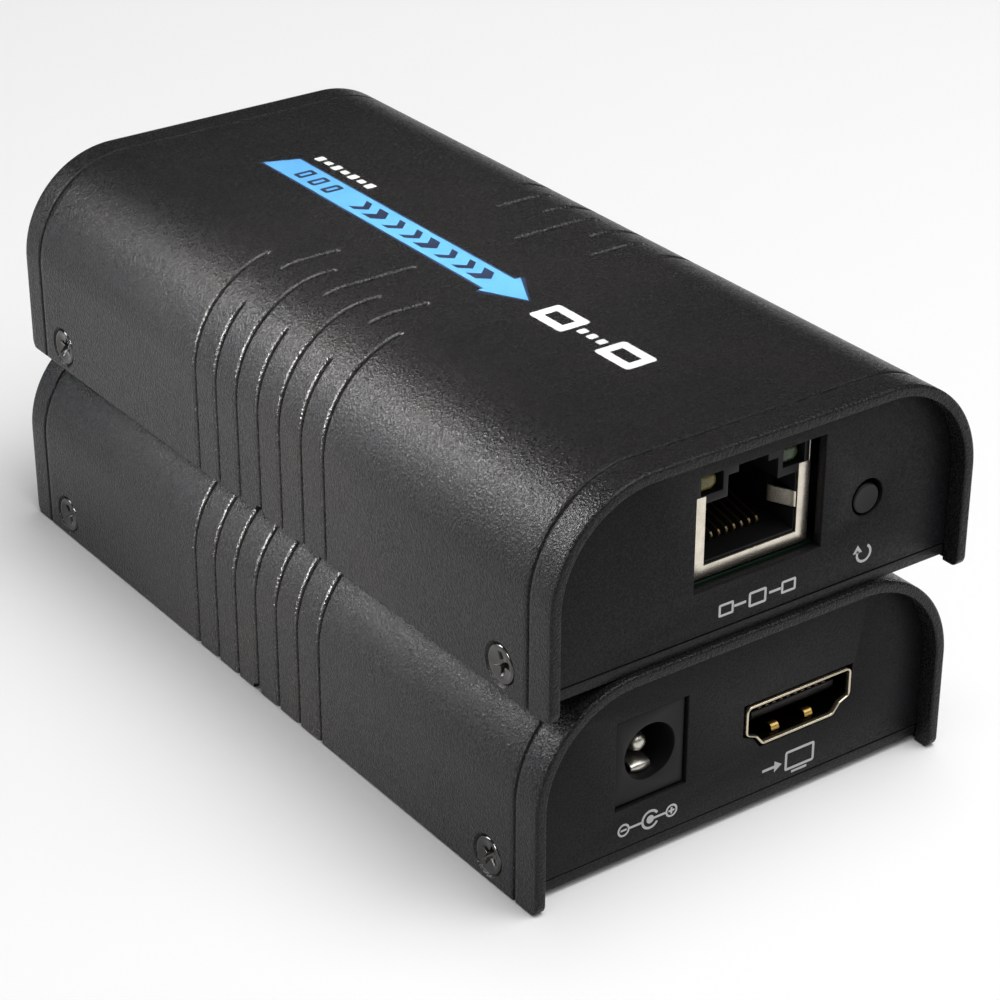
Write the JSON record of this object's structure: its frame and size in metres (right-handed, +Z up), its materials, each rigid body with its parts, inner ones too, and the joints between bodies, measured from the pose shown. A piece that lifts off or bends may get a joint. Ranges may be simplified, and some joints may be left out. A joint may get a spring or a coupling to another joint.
{
  "type": "hdmi extender",
  "caption": "HDMI extender pair: a receiver box standing on a transmitter box, rounded metal cases with network, HDMI and power sockets and reset buttons.",
  "frame": {"origin": "centre of the stack's outer box, on the surface that the transmitter stands on", "axes": "+Z up; -Y towards the end with the receiver's network socket and the transmitter's HDMI socket; +X to the right seen from that end"},
  "size_m": [0.0564, 0.1098, 0.0485],
  "materials": {
    "case_coating": "fine sparkling powder coat, satin",
    "base_coating": "powder coat, matte",
    "panel_coating": "smooth coat, matte",
    "screw_plating": "nickel plated",
    "shield_plating": "bright nickel plated",
    "shell_gold": "thin gold plating",
    "contact_gold": "gold plated",
    "pin_plating": "nickel plated",
    "socket_plastic": "moulded",
    "switch_plastic": "moulded",
    "button_plastic": "moulded, satin",
    "amber_window": "translucent",
    "green_window": "translucent",
    "board_laminate": "solder mask",
    "chip_plastic": "moulded",
    "sink_anodised": "black anodised",
    "can_aluminium": "satin",
    "coil_ferrite": "dull",
    "can_steel": "satin"
  },
  "bodies": {
    "transmitter": {"transmitter_cover": "case_coating", "transmitter_base": "base_coating", "transmitter_front_panel": "panel_coating", "transmitter_rear_panel": "panel_coating", "transmitter_side_screws": "screw_plating", "transmitter_board": "board_laminate", "transmitter_board_screws": "screw_plating", "transmitter_network_shield": "shield_plating", "transmitter_network_housing": "socket_plastic", "transmitter_network_wires": "contact_gold", "transmitter_amber_light": "amber_window", "transmitter_green_light": "green_window", "transmitter_display_shell": "shell_gold", "transmitter_display_tongue": "socket_plastic", "transmitter_display_contacts": "contact_gold", "transmitter_power_housing": "socket_plastic", "transmitter_power_pin": "pin_plating", "transmitter_power_spring": "pin_plating", "transmitter_reset_switch": "switch_plastic", "transmitter_main_chip": "chip_plastic", "transmitter_heat_sink": "sink_anodised", "transmitter_line_transformer": "chip_plastic", "transmitter_capacitors": "can_aluminium", "transmitter_power_coil": "coil_ferrite", "transmitter_regulator": "chip_plastic", "transmitter_crystal": "can_steel"},
    "receiver": {"receiver_cover": "case_coating", "receiver_base": "base_coating", "receiver_front_panel": "panel_coating", "receiver_rear_panel": "panel_coating", "receiver_side_screws": "screw_plating", "receiver_board": "board_laminate", "receiver_board_screws": "screw_plating", "receiver_network_shield": "shield_plating", "receiver_network_housing": "socket_plastic", "receiver_network_wires": "contact_gold", "receiver_amber_light": "amber_window", "receiver_green_light": "green_window", "receiver_display_shell": "shell_gold", "receiver_display_tongue": "socket_plastic", "receiver_display_contacts": "contact_gold", "receiver_power_housing": "socket_plastic", "receiver_power_pin": "pin_plating", "receiver_power_spring": "pin_plating", "receiver_reset_switch": "switch_plastic", "receiver_main_chip": "chip_plastic", "receiver_heat_sink": "sink_anodised", "receiver_line_transformer": "chip_plastic", "receiver_capacitors": "can_aluminium", "receiver_power_coil": "coil_ferrite", "receiver_regulator": "chip_plastic", "receiver_crystal": "can_steel"},
    "transmitter_button": {"transmitter_reset_button": "button_plastic"},
    "receiver_button": {"receiver_reset_button": "button_plastic"}
  },
  "joints": [
    {"name": "receiver_lift", "type": "slide", "parent": "transmitter", "child": "receiver", "axis": [0, 0, 1], "range_m": [0, 0.06]},
    {"name": "receiver_reset", "type": "slide", "parent": "receiver", "child": "receiver_button", "axis": [0, 1, 0], "range_m": [0, 0.0003], "stiffness_N_per_m": 3000},
    {"name": "transmitter_reset", "type": "slide", "parent": "transmitter", "child": "transmitter_button", "axis": [0, -1, 0], "range_m": [0, 0.0003], "stiffness_N_per_m": 3000}
  ]
}
